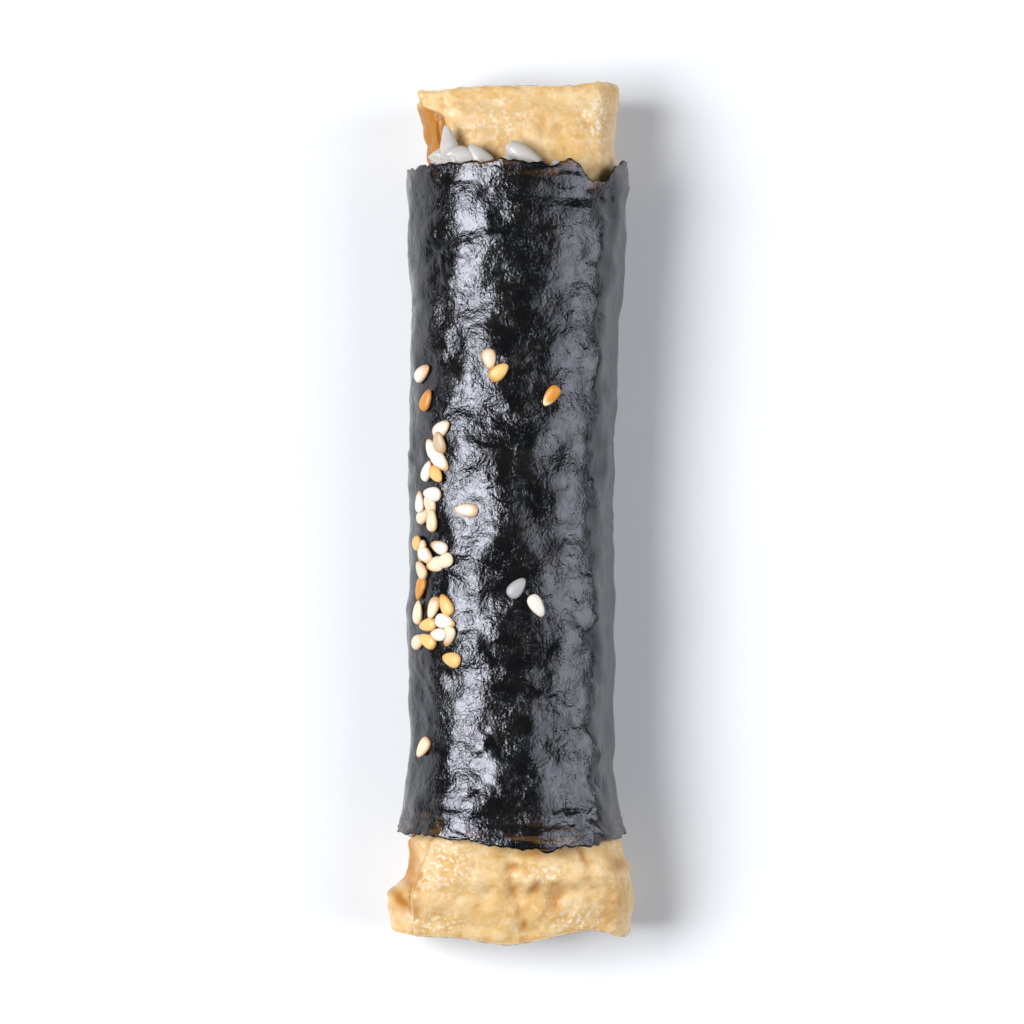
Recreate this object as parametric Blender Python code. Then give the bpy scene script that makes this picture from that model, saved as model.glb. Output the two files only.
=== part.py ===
"""A small kimbap: a roll of rice in a seaweed wrap, with a rolled fish-cake sheet that shows at both ends.

The roll lies along Y on a flat spot. The origin is under its middle, on the surface that it rests on.
Nodes: seaweed (the wrap, with the sesame seeds that stick to it), rice (a core with the grains that show at
the ends) and fish_cake (one sheet, rolled up, that runs through the whole roll and out of both its ends).
"""

import math
import random

import bmesh
import bpy
from mathutils import Vector, noise

MM = 0.001
CLEARANCE = 0.32 * MM  # between pieces

# The seaweed wrap: half of a 190 mm sheet wide, so about 95 mm long on the roll.
WRAP_TOP_END = 48.2 * MM
WRAP_BOTTOM_END = -44.8 * MM
WRAP_HALF_WIDTH = 14.45 * MM
WRAP_HEIGHT = 23.0 * MM
WRAP_FLAT_DEPTH = 0.8 * MM  # how much of the round section the flat spot cuts away
WRAP_SQUARENESS = 2.2  # exponent of the section: 2 is an ellipse
WRAP_WALL = 0.8 * MM
WRAP_COLUMNS = 44
WRAP_ROWS = 26
WRAP_INNER_ROWS = 8
WRAP_END_CROWDING = 0.4  # how much closer the rows are near the ends
LUMP_HEIGHT = 0.35 * MM  # rice pressing through the wrap
LUMP_SIZE = 5.5 * MM
LAP_EDGE = math.radians(207)  # the free edge of the overlap, low on the left side
LAP_STEP = 0.35 * MM
LAP_REACH = math.radians(55)

# The fish-cake sheet.
SHEET_THICKNESS = 2.8 * MM
SHEET_HALF_LENGTH = 59.5 * MM
SHEET_ROOM = 0.65 * MM  # kept free of rice all round
SHEET_EDGE_ROOM = math.radians(6)  # and past the outer edge
SHEET_TURN_SAMPLES = 24  # round the outer turn, which shows
SHEET_TAIL = math.radians(260)  # how far the sheet goes on inside the outer turn
SHEET_TAIL_SAMPLES = 12
SHEET_FOLD_RADIUS = 1.6 * MM  # of the innermost fold, at mid thickness
SHEET_SIDE_PITCH = 3.5 * MM  # how far each turn steps inwards at the sides
SHEET_END_REACH = 0.15  # share of the length at each end that shows
SHEET_END_ROWS = 9
SHEET_NECK_SHARES = [0.18, 0.215]  # rows where the rolled sheet narrows inside the rice
SHEET_PUFF = 0.22 * MM
SHEET_PUFF_SIZE = 7.0 * MM
# In mm and degrees: place along Y, then the rolled sheet's half width, half height, sideways shift, axis
# height and tilt, how much its free edge lifts, and the angle round the roll at which that edge lies.
SHEET_STATIONS = (
    (-60.0, 16.8, 7.2, 0.2, 9.4, -2.0, 0.6, 124),
    (-53.8, 17.1, 8.0, 0.0, 10.7, -1.0, 0.9, 125),
    (-51.2, 15.7, 8.7, 1.0, 11.1, 0.0, 0.8, 131),
    (-46.5, 14.8, 8.8, 0.5, 11.5, 0.0, 0.0, 126),
    (-44.0, 12.9, 8.3, 0.1, 11.5, 0.0, 0.0, 119),
    (-40.0, 12.0, 7.8, 0.3, 11.5, 0.0, 0.0, 113),
    (-34.0, 11.4, 7.0, 0.7, 11.4, 0.0, 0.0, 111),
    (36.0, 11.4, 7.0, 0.9, 11.3, 0.0, 0.0, 115),
    (43.0, 12.6, 7.7, 1.2, 11.2, 5.0, 0.0, 121),
    (48.0, 13.0, 7.8, 1.3, 11.2, 6.0, 0.2, 120),
    (51.5, 13.3, 7.7, 1.2, 11.0, 6.0, 0.4, 118),
    (55.5, 13.7, 7.5, 1.1, 10.7, 5.5, 0.8, 120),
    (57.8, 13.9, 7.3, 1.0, 10.5, 5.0, 1.2, 131),
    (60.0, 14.1, 7.2, 0.9, 10.3, 5.0, 1.6, 132),
)

# Rice.
CORE_COLUMNS = 24
CORE_ROWS = 6
CORE_TOP_END = 44.8 * MM
CORE_BOTTOM_END = -41.4 * MM
GRAIN_SIZE = (6.6 * MM, 3.0 * MM, 2.5 * MM)
TOP_GRAINS = 14
BOTTOM_GRAINS = 12
# Grains that lie on the fish cake at the wrap's top end: place in mm and direction from +X in degrees.
SHOWN_GRAINS = (
    (-9.3, 50.4, 100),
    (-11.2, 48.4, 52),
    (-7.0, 49.2, -10),
    (-4.6, 48.2, 128),
    (-2.4, 46.6, 60),
    (1.2, 49.1, -35),
    (3.0, 46.2, 105),
)

# Sesame.
SEED_SIZE = (3.4 * MM, 2.0 * MM, 1.0 * MM)
SEED_SUNK = 0.22 * MM
SEED_SPACING = 1.6 * MM  # the closest that two seeds lie
SEED_TOUCH = 2.0 * MM  # a seed closer than this to another lies on top of it
SEED_LIFT = 0.25 * MM
SEED_TRIES = 40
# Seeds that lie alone: place in mm and direction in degrees from +Y towards -X.
LONE_SEEDS = (
    (-12.9, 19.2, 300), (-12.3, 15.3, 330), (-4.0, 20.7, 190), (-2.7, 18.9, 310), (4.5, 15.6, 145),
    (-7.1, -0.2, 85), (-0.2, -11.0, 320), (2.5, -13.5, 210), (-12.7, -33.1, 140), (-9.4, -17.7, 155),
    (-9.0, -20.9, 75),
)
# Crowds of seeds, in mm: centre across and along, reach across and along, and how many.
SEED_CROWDS = (
    (-12.0, 4.6, 1.6, 6.6, 11),
    (-11.7, -11.8, 2.0, 7.4, 16),
)


def blend(low, high, value):
    """0 below low, 1 above high and a smooth rise between."""
    share = max(0.0, min(1.0, (value - low) / (high - low)))
    return share * share * (3 - 2 * share)


def hill(value, centre, width):
    """A rounded hill of height 1."""
    return math.exp(-(((value - centre) / width) ** 2))


def turned(angle):
    """An angle brought to between -180 and 180 degrees."""
    return (angle + math.pi) % math.tau - math.pi


# ---------------------------------------------------------------- the wrap's form


def wrap_half_width(y):
    gathered = 0.9 * MM * blend(20 * MM, 44 * MM, y)
    lip = 1.6 * MM * blend(-36 * MM, -46 * MM, y)
    waist = 0.3 * MM * hill(y, -1 * MM, 9 * MM) + 0.3 * MM * hill(y, -29 * MM, 8 * MM)
    return WRAP_HALF_WIDTH + gathered + lip - waist


def wrap_shift(y):
    """Sideways bow of the roll."""
    return 0.9 * MM * blend(0.0, 44 * MM, y)


def wrap_swell(y):
    """How much higher the ends stand than the middle."""
    return 0.6 * MM * blend(30 * MM, 47 * MM, y) + 0.5 * MM * blend(-32 * MM, -45 * MM, y)


def lap_height(angle):
    """The overlap ends in a step at its free edge and dies away behind it."""
    behind = (LAP_EDGE - angle) % math.tau
    return LAP_STEP * (1 - blend(0.5 * LAP_REACH, LAP_REACH, behind))


def wrap_relief(angle, y):
    """Rice pressing through, a crease round each end and the overlap."""
    across, up = math.cos(angle), math.sin(angle)
    lumps = LUMP_HEIGHT * noise.noise(Vector((across * 2.4, y / LUMP_SIZE, up * 2.0)))
    top_crease = 0.3 * MM * hill(y, 43.4 * MM, 1.5 * MM) * blend(-0.2, 0.6, across)
    bottom_crease = 0.35 * MM * hill(y, -43.0 * MM, 1.4 * MM) * blend(-0.3, 0.3, up)
    return lumps - top_crease - bottom_crease + lap_height(angle)


def wrap_point(angle, y, inset=0.0, relief=True):
    """A point of the wrap's outer surface at an angle from +X towards +Z, or inset below it."""
    half_height = (WRAP_HEIGHT + WRAP_FLAT_DEPTH) / 2
    power = 2 / WRAP_SQUARENESS
    across, up = math.cos(angle), math.sin(angle)
    raised = (wrap_relief(angle, y) if relief else 0.0) - inset
    wide = wrap_half_width(y) + raised
    high = half_height + raised + wrap_swell(y) * max(0.0, up)
    x = wrap_shift(y) + wide * math.copysign(abs(across) ** power, across)
    z = WRAP_HEIGHT - half_height + high * math.copysign(abs(up) ** power, up)
    return Vector((x, y, max(z, inset)))


def wrap_end(angle, top):
    """Where the wrap ends along Y, at its top or bottom end, at an angle round the roll."""
    across, up = math.cos(angle), math.sin(angle)
    ragged = 0.5 * MM * noise.noise(Vector((across * 3, up * 3, 7 if top else 3)))
    if top:
        notch = 2.7 * MM * math.exp(-((turned(angle - math.radians(49)) / math.radians(11.5)) ** 4))
        peak = 1.1 * MM * hill(turned(angle - math.radians(20)), 0, math.radians(7))
        return WRAP_TOP_END - notch + peak + ragged
    bow = 2.4 * MM * hill(turned(angle - math.radians(75)), 0, math.radians(50))
    return WRAP_BOTTOM_END - bow + ragged


def ruled_tube(columns, outer_shares, inner_shares, outer, inner):
    """A tube as a bmesh. outer(column, share) and inner(column, share) give its points."""
    bm = bmesh.new()
    shell = [[bm.verts.new(outer(column, share)) for column in range(columns)] for share in outer_shares]
    bore = [[bm.verts.new(inner(column, share)) for column in range(columns)] for share in inner_shares]
    for i in range(columns):
        j = (i + 1) % columns
        for low, high in zip(shell, shell[1:]):
            bm.faces.new((low[i], high[i], high[j], low[j]))
        for low, high in zip(bore, bore[1:]):
            bm.faces.new((low[i], low[j], high[j], high[i]))
        bm.faces.new((shell[0][i], shell[0][j], bore[0][j], bore[0][i]))
        bm.faces.new((shell[-1][i], bore[-1][i], bore[-1][j], shell[-1][j]))
    return bm


def wrap_mesh(margin=0.0):
    """The wrap without its seeds. With a margin it is that much thicker and longer all round."""
    gap = math.radians(1.7)  # a close pair of columns makes the overlap's step crisp
    angles = [LAP_EDGE + (math.tau - gap) * i / (WRAP_COLUMNS - 1) for i in range(WRAP_COLUMNS)]
    angles[0] += 1e-4
    even = [row / WRAP_ROWS for row in range(WRAP_ROWS + 1)]
    crowded = [share - WRAP_END_CROWDING * math.sin(math.tau * share) / math.tau for share in even]

    def along(angle, share):
        bottom = wrap_end(angle, False) - margin
        top = wrap_end(angle, True) + margin
        return bottom + (top - bottom) * share

    def outer(column, share):
        angle = angles[column]
        return wrap_point(angle, along(angle, share), -margin)

    def inner(column, share):
        angle = angles[column]
        return wrap_point(angle, along(angle, share), WRAP_WALL + margin, relief=False)

    inner_shares = [row / WRAP_INNER_ROWS for row in range(WRAP_INNER_ROWS + 1)]
    return ruled_tube(WRAP_COLUMNS, crowded, inner_shares, outer, inner)


# ---------------------------------------------------------------- the fish-cake sheet's form


def sheet_frame(y):
    """The rolled sheet's half width, half height, shift, axis height, tilt, edge lift and edge angle."""
    y_mm = max(SHEET_STATIONS[0][0], min(SHEET_STATIONS[-1][0], y / MM))
    for low, high in zip(SHEET_STATIONS, SHEET_STATIONS[1:]):
        if y_mm <= high[0]:
            break
    share = blend(low[0], high[0], y_mm)
    wide, tall, shift, axis, tilt, lift, edge = (a + (b - a) * share for a, b in zip(low[1:], high[1:]))
    return wide * MM, tall * MM, shift * MM, axis * MM, math.radians(tilt), lift * MM, math.radians(edge)


def free_edge(y):
    """The outer edge's angle round the rolled sheet."""
    return sheet_frame(y)[-1]


def sheet_line(angle, y):
    """A point of the rolled sheet at mid thickness. Its turns are flattened rings that step inwards."""
    wide, tall, shift, axis, tilt, lift, edge = sheet_frame(y)
    half_thick = SHEET_THICKNESS / 2
    step_in = tall - half_thick - SHEET_FOLD_RADIUS
    turns = angle / math.tau
    half_wide = wide - half_thick + SHEET_SIDE_PITCH * (0.25 + turns)
    radius = max(tall - half_thick + step_in * turns, 0.05 * MM)
    bend = max(radius, SHEET_FOLD_RADIUS)
    flat_share = max(-1.0, min(1.0, 1.6 * math.cos(angle)))
    x = (half_wide - bend) * flat_share + bend * math.cos(angle) - SHEET_SIDE_PITCH / 4
    z = radius * math.sin(angle) - step_in / 4
    z += lift * blend(math.radians(98), edge, angle)
    c, s = math.cos(tilt), math.sin(tilt)
    return Vector((shift + x * c - z * s, y, axis + x * s + z * c))


def sheet_normal(angle, y):
    """The direction out of the roll at a point of the sheet."""
    along = sheet_line(angle + 0.02, y) - sheet_line(angle - 0.02, y)
    return Vector((along.z, 0, -along.x)).normalized()


def sheet_relief(point):
    """Puffs on the ends of the sheet, with a crease and a dimple at one and a hollow at the other."""
    x, y = point.x / MM, point.y / MM
    shown = blend(46.5, 49.5, abs(y))
    relief = SHEET_PUFF * noise.noise(point / SHEET_PUFF_SIZE)
    if point.z > 12 * MM and y < 0:
        relief -= 0.7 * MM * hill(x, 0.2 - 0.3 * (y + 54), 1.3)
        relief -= 0.7 * MM * hill(x, 5.2, 2.0) * hill(y, -54.0, 2.0)
    if point.z > 12 * MM and y > 0:
        relief -= 0.8 * MM * hill(x, -9.4, 2.2) * hill(y, 53.5, 3.0)
    return relief * shown


def sheet_wave(point):
    """How far a point near an end moves along Y. The ends are cut in waves, the lower turns shorter."""
    x, z = point.x / MM, point.z / MM
    lower = 0.5 * MM * blend(14, 8, z)
    if point.y > 0:
        wave = 0.9 * MM * blend(6, 13.5, x) - 0.7 * MM * blend(-4, -12, x)
        return (wave - lower) * blend(47 * MM, SHEET_HALF_LENGTH, point.y)
    wave = 0.2 - 1.2 * hill(x, -1, 5) + 0.8 * hill(x, 10.5, 3.5) - 0.5 * hill(x, 16, 2.5)
    return (wave * MM + lower) * blend(-47 * MM, -SHEET_HALF_LENGTH, point.y)


def sheet_angles(y):
    """Angles along the sheet from its inner edge to its free edge: few inside, more where it shows."""
    last = free_edge(y)
    first = last - math.tau
    tail = [first - SHEET_TAIL * (1 - i / SHEET_TAIL_SAMPLES) for i in range(SHEET_TAIL_SAMPLES)]
    return tail + [first + math.tau * i / SHEET_TURN_SAMPLES for i in range(SHEET_TURN_SAMPLES + 1)]


def sheet_side(share, offset):
    """Points of one side of the sheet at a share of its length, offset from mid thickness."""
    points = []
    y = SHEET_HALF_LENGTH * (2 * share - 1)
    for angle in sheet_angles(y):
        outwards = sheet_normal(angle, y)
        point = sheet_line(angle, y) + outwards * offset
        point += outwards * sheet_relief(point) * (1 if offset > 0 else 0.6)
        point.y += sheet_wave(point)
        points.append(point)
    return points


def loft(sections, folded=False):
    """A closed bmesh through rings of points. A folded ring runs along a strip's one side and back along
    its other, and its caps are ladders of faces across the strip."""
    bm = bmesh.new()
    rings = [[bm.verts.new(point) for point in section] for section in sections]
    count = len(rings[0])
    for low, high in zip(rings, rings[1:]):
        for i in range(count):
            j = (i + 1) % count
            bm.faces.new((low[i], low[j], high[j], high[i]))
    for ring in (rings[0], rings[-1]):
        if folded:
            for i in range(count // 2 - 1):
                bm.faces.new((ring[i], ring[i + 1], ring[-2 - i], ring[-1 - i]))
        else:
            bm.faces.new(ring)
    return bm


def sheet_mesh():
    """The rolled sheet: along its outer side, round the free edge, and back along its inner side."""
    near = [SHEET_END_REACH * i / SHEET_END_ROWS for i in range(SHEET_END_ROWS + 1)]
    near += SHEET_NECK_SHARES
    shares = near + [0.5] + [1 - share for share in reversed(near)]
    half_thick = SHEET_THICKNESS / 2
    sections = [sheet_side(share, half_thick) + sheet_side(share, -half_thick)[::-1] for share in shares]
    return loft(sections, folded=True)


def sheet_outline(y, margin, count):
    """The outer turn's outline at y, widened by a margin, and more where it lies close to the wrap."""
    ring = []
    first, last = free_edge(y) + SHEET_EDGE_ROOM - math.tau * 0.97, free_edge(y) + SHEET_EDGE_ROOM
    for i in range(count):
        angle = first + (last - first) * i / (count - 1)
        close = 1.4 * MM * blend(0.75, 0.95, math.cos(angle))
        ring.append(sheet_line(angle, y) + sheet_normal(angle, y) * (SHEET_THICKNESS / 2 + margin + close))
    return ring


def sheet_space_mesh():
    """The space that the rolled sheet takes, with room for its relief."""
    places = (-64, -50, -46.5, -44, -42, -40, -37, -34, 36, 39, 41, 43, 46, 50, 64)
    return loft([sheet_outline(place * MM, SHEET_ROOM, 27) for place in places])


# ---------------------------------------------------------------- rice and sesame


def kernel(origin, along, normal, size, sides, rings, taper=0.0):
    """A grain or seed as a bmesh. size is its length, width and depth."""
    along = along.normalized()
    across = normal.cross(along).normalized()
    depth = along.cross(across)
    bm = bmesh.new()

    def vert(at, side):
        end = -math.cos(at)
        thick = math.sin(at) * (1 - taper * end) / 2
        spot = origin + along * (end * size[0] / 2)
        spot += across * (thick * size[1] * math.cos(side)) + depth * (thick * size[2] * math.sin(side))
        return bm.verts.new(spot)

    hoops = []
    for ring in range(1, rings + 1):
        at = math.pi * ring / (rings + 1)
        hoops.append([vert(at, math.tau * side / sides) for side in range(sides)])
    tail, tip = vert(0.0, 0.0), vert(math.pi, 0.0)
    for i in range(sides):
        j = (i + 1) % sides
        bm.faces.new((tail, hoops[0][j], hoops[0][i]))
        bm.faces.new((tip, hoops[-1][i], hoops[-1][j]))
        for low, high in zip(hoops, hoops[1:]):
            bm.faces.new((low[i], low[j], high[j], high[i]))
    return bm


def wrap_spot(x, y):
    """The point of the wrap's upper surface above x and y, and its outward normal."""
    low, high = 0.0, math.pi
    for _ in range(30):
        middle = (low + high) / 2
        low, high = (middle, high) if wrap_point(middle, y).x > x else (low, middle)
    round_roll = wrap_point(low + 0.03, y) - wrap_point(low - 0.03, y)
    along = wrap_point(low, y + 0.3 * MM) - wrap_point(low, y - 0.3 * MM)
    return wrap_point(low, y), along.cross(round_roll).normalized()


def seed_mesh(here, normal, yaw, lift):
    side = normal.cross(Vector((0, 1, 0))).normalized()
    along = Vector((0, 1, 0)) * math.cos(yaw) + side * math.sin(yaw)
    along = along - normal * along.dot(normal)
    rise = SEED_SIZE[2] / 2 - SEED_SUNK + lift
    return kernel(here + normal * rise, along, normal, SEED_SIZE, 5, 3, taper=0.3)


def seed_meshes():
    """The lone seeds, then the crowds, in which a seed that comes close to another lies on top of it."""
    draw = random.Random(11)
    spots = []
    meshes = []
    for x, y, degrees in LONE_SEEDS:
        here, normal = wrap_spot(x * MM, y * MM)
        spots.append(here)
        meshes.append(seed_mesh(here, normal, math.radians(degrees), 0.0))
    for x_mid, y_mid, x_reach, y_reach, count in SEED_CROWDS:
        for _ in range(count):
            for _ in range(SEED_TRIES):
                x = (x_mid + x_reach * draw.uniform(-1, 1)) * MM
                y = (y_mid + y_reach * draw.uniform(-1, 1)) * MM
                here, normal = wrap_spot(x, y)
                nearest = min((here - other).length for other in spots)
                if nearest > SEED_SPACING:
                    spots.append(here)
                    lift = SEED_LIFT if nearest < SEED_TOUCH else 0.0
                    meshes.append(seed_mesh(here, normal, draw.uniform(0, math.tau), lift))
                    break
    return meshes


def core_mesh():
    """The rice that fills the wrap between its ends, before the sheet's space is cut out of it."""
    angles = [math.tau * i / CORE_COLUMNS for i in range(CORE_COLUMNS)]
    inset = WRAP_WALL + 2 * CLEARANCE
    sections = []
    for row in range(CORE_ROWS + 1):
        y = CORE_BOTTOM_END + (CORE_TOP_END - CORE_BOTTOM_END) * row / CORE_ROWS
        sections.append([wrap_point(angle, y, inset, relief=False) for angle in angles])
    return loft(sections)


def end_grain(draw, angle, top):
    """One grain in the ring of rice at an end of the roll."""
    face, out = (CORE_TOP_END, 1) if top else (CORE_BOTTOM_END, -1)
    y = face + out * draw.uniform(0.0, 1.4) * MM
    outside = wrap_point(angle, y, WRAP_WALL + CLEARANCE, relief=False)
    ring = sheet_outline(y, SHEET_ROOM, 60)
    inside = min(ring, key=lambda point: (point - outside).length)
    radial = (outside - inside).normalized()
    round_roll = radial.cross(Vector((0, 1, 0)))
    lean = draw.uniform(-1.2, 1.2)
    along = Vector((0, out, 0)) * math.cos(lean) + round_roll * math.sin(lean)
    along += radial * draw.uniform(-0.15, 0.15)
    here = outside.lerp(inside, draw.uniform(0.35, 0.65))
    scale = draw.uniform(0.85, 1.05)
    return kernel(here, along, radial, [side * scale for side in GRAIN_SIZE], 5, 3)


def shown_grain(x, y, direction):
    """One grain that lies on the fish cake past the wrap's top end."""
    ring = sheet_outline(y, SHEET_ROOM, 60)
    below = min((point for point in ring if point.z > 12 * MM), key=lambda point: abs(point.x - x))
    here = Vector((x, y, below.z + 0.4 * GRAIN_SIZE[2]))
    along = Vector((math.cos(direction), math.sin(direction), 0.0))
    return kernel(here, along, Vector((0, 0, 1)), GRAIN_SIZE, 6, 3)


def grain_meshes():
    draw = random.Random(5)
    meshes = []
    for top, count, first, last in ((True, TOP_GRAINS, 64, 316), (False, BOTTOM_GRAINS, 60, 316)):
        for i in range(count):
            angle = math.radians(first + (last - first) * (i + draw.uniform(-0.3, 0.3)) / (count - 1))
            meshes.append(end_grain(draw, angle, top))
    for x, y, degrees in SHOWN_GRAINS:
        meshes.append(shown_grain(x * MM, y * MM, math.radians(degrees)))
    return meshes


# ---------------------------------------------------------------- objects


def material(name, colour, roughness):
    made = bpy.data.materials.new(name)
    made.use_nodes = True
    shader = made.node_tree.nodes["Principled BSDF"]
    shader.inputs["Base Color"].default_value = (*colour, 1)
    shader.inputs["Roughness"].default_value = roughness
    shader.inputs["Metallic"].default_value = 0.0
    return made


def new_object(name, bm):
    """An object from a closed bmesh, with its faces turned outwards."""
    bmesh.ops.triangulate(bm, faces=bm.faces)
    bmesh.ops.recalc_face_normals(bm, faces=bm.faces)
    mesh = bpy.data.meshes.new(name)
    bm.to_mesh(mesh)
    bm.free()
    made = bpy.data.objects.new(name, mesh)
    bpy.context.scene.collection.objects.link(made)
    return made


def combine(target, helpers, operation):
    """Joins helpers to target, or cuts them from it, by one Boolean, and removes them."""
    group = bpy.data.collections.new("helpers")
    for helper in helpers:
        bpy.context.scene.collection.objects.unlink(helper)
        group.objects.link(helper)
    modifier = target.modifiers.new("combine", "BOOLEAN")
    modifier.operation = operation
    modifier.solver = "EXACT"
    modifier.operand_type = "COLLECTION"
    modifier.collection = group
    bpy.context.view_layer.update()
    ready = target.evaluated_get(bpy.context.evaluated_depsgraph_get())
    result = bpy.data.meshes.new_from_object(ready)
    target.modifiers.clear()
    target.data = result
    for helper in list(group.objects):
        bpy.data.objects.remove(helper)
    bpy.data.collections.remove(group)


def drop_scraps(target):
    """Keeps the largest body that a cut leaves."""
    bm = bmesh.new()
    bm.from_mesh(target.data)
    left = set(bm.verts)
    bodies = []
    while left:
        body, waiting = [], [left.pop()]
        while waiting:
            vert = waiting.pop()
            body.append(vert)
            joined = [edge.other_vert(vert) for edge in vert.link_edges]
            fresh = [other for other in joined if other in left]
            left.difference_update(fresh)
            waiting.extend(dict.fromkeys(fresh))
        bodies.append(body)
    bodies.sort(key=len)
    scraps = [vert for body in bodies[:-1] for vert in body]
    bmesh.ops.delete(bm, geom=scraps, context="VERTS")
    bm.to_mesh(target.data)
    bm.free()


def finish(target, look):
    target.data.materials.clear()
    target.data.materials.append(look)
    target.data.shade_smooth()
    target.data.set_sharp_from_angle(angle=math.radians(50))


def make_seaweed():
    wrap = new_object("seaweed", wrap_mesh())
    combine(wrap, [new_object("seed", mesh) for mesh in seed_meshes()], "UNION")
    finish(wrap, material("seaweed", (0.012, 0.013, 0.012), 0.3))


def make_rice():
    rice = new_object("rice", core_mesh())
    combine(rice, [new_object("grain", mesh) for mesh in grain_meshes()], "UNION")
    spaces = [new_object("wrap_space", wrap_mesh(CLEARANCE)), new_object("sheet_space", sheet_space_mesh())]
    combine(rice, spaces, "DIFFERENCE")
    drop_scraps(rice)
    finish(rice, material("rice", (0.8, 0.78, 0.74), 0.35))


def make_fish_cake():
    cake = new_object("fish_cake", sheet_mesh())
    finish(cake, material("fish_cake", (0.78, 0.53, 0.26), 0.35))


def main():
    for old in list(bpy.data.objects):
        bpy.data.objects.remove(old)
    make_seaweed()
    make_rice()
    make_fish_cake()


main()
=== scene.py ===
import math
import random

import bpy
import numpy as np
from mathutils import Matrix, Vector, noise


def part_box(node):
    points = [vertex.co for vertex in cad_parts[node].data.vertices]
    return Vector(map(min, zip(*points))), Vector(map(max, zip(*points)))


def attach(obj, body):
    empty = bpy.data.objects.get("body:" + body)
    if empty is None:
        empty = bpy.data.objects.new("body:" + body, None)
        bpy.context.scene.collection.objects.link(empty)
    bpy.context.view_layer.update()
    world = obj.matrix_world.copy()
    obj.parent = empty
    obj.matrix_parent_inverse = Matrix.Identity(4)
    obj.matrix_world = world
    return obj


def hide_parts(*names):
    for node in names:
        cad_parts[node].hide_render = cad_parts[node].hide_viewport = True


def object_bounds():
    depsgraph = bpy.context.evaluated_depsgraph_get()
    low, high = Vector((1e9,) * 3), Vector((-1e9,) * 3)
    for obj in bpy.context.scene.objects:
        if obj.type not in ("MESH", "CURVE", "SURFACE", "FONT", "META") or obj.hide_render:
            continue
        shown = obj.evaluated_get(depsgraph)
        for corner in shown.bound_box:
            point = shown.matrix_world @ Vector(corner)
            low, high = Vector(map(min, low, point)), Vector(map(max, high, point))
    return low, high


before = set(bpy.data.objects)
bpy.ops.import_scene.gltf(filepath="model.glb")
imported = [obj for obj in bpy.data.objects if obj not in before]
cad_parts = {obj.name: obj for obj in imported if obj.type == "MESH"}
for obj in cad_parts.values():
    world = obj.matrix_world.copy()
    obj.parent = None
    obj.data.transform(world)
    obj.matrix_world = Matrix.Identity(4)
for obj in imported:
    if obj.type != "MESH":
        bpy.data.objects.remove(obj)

# A small kimbap: a seaweed wrap with sesame seeds, rice, and a rolled fish-cake sheet that shows at both
# ends. Shapes are worked out in mm, with the roll along y, and pieces are made in metres.

mm = 0.001
fine = 1.0  # share of the full number of rows and columns
cadLow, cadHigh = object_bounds()
wrapHigh = Vector(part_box("seaweed")[1]) / mm


# helpers for forms

def blend(low, high, value):
    share = np.clip((value - low) / (high - low), 0.0, 1.0)
    return share * share * (3 - 2 * share)


def hill(value, centre, width):
    return np.exp(-(((value - centre) / width) ** 2))


def cloud(x, y, z):
    # soft noise, about -0.5 to 0.5, at many places at once
    spots = np.stack(np.broadcast_arrays(x, y, z), -1)
    values = [noise.noise(spot) for spot in spots.reshape(-1, 3).tolist()]
    return np.array(values).reshape(spots.shape[:-1])


def unit(vectors):
    return vectors / np.linalg.norm(vectors, axis=-1, keepdims=True)


def gridFaces(rows, columns, closed, start=0):
    # quads of a grid of points that lie row by row; closed joins the last column to the first
    across = columns if closed else columns - 1
    row, column = np.meshgrid(np.arange(rows - 1), np.arange(across), indexing="ij")
    after = (column + 1) % columns
    here = row * columns
    corners = (here + column, here + after, here + columns + after, here + columns + column)
    return (np.stack(corners, -1).reshape(-1, 4) + start).tolist()


def newPiece(name, points, faces, material, tones=None):
    # tones: values from 0 to 1 at each point, by name, which the material reads
    mesh = bpy.data.meshes.new(name)
    mesh.from_pydata((np.asarray(points) * mm).tolist(), [], faces)
    for tone, values in (tones or {}).items():
        values = np.ascontiguousarray(values, dtype=float)
        if values.ndim == 2:
            layer = mesh.attributes.new(tone, "FLOAT_COLOR", "POINT")
            layer.data.foreach_set("color", np.c_[values, np.ones(len(values))].ravel())
        else:
            layer = mesh.attributes.new(tone, "FLOAT", "POINT")
            layer.data.foreach_set("value", values)
    mesh.shade_smooth()
    mesh.validate()
    piece = bpy.data.objects.new(name, mesh)
    bpy.context.scene.collection.objects.link(piece)
    mesh.materials.append(material)
    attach(piece, "root")
    print("made", name, len(mesh.polygons), "faces")
    return piece


# helpers for finishes

class Value:
    # one socket of a shader; arithmetic on it adds Math nodes
    def __init__(self, finish, socket):
        self.finish = finish
        self.socket = socket

    def math(self, operation, *inputs):
        return self.finish.node("Math", {"operation": operation}, dict(enumerate(inputs)))

    def __add__(self, other):
        return self.math("ADD", self, other)

    def __radd__(self, other):
        return self.math("ADD", other, self)

    def __sub__(self, other):
        return self.math("SUBTRACT", self, other)

    def __rsub__(self, other):
        return self.math("SUBTRACT", other, self)

    def __mul__(self, other):
        return self.math("MULTIPLY", self, other)

    def __rmul__(self, other):
        return self.math("MULTIPLY", other, self)

    def __abs__(self):
        return self.math("ABSOLUTE", self)

    def between(self, low, high):
        # 0 at low, 1 at high, smooth between
        settings = {"interpolation_type": "SMOOTHSTEP"}
        return self.finish.node("MapRange", settings, {"Value": self, "From Min": low, "From Max": high})


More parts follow.
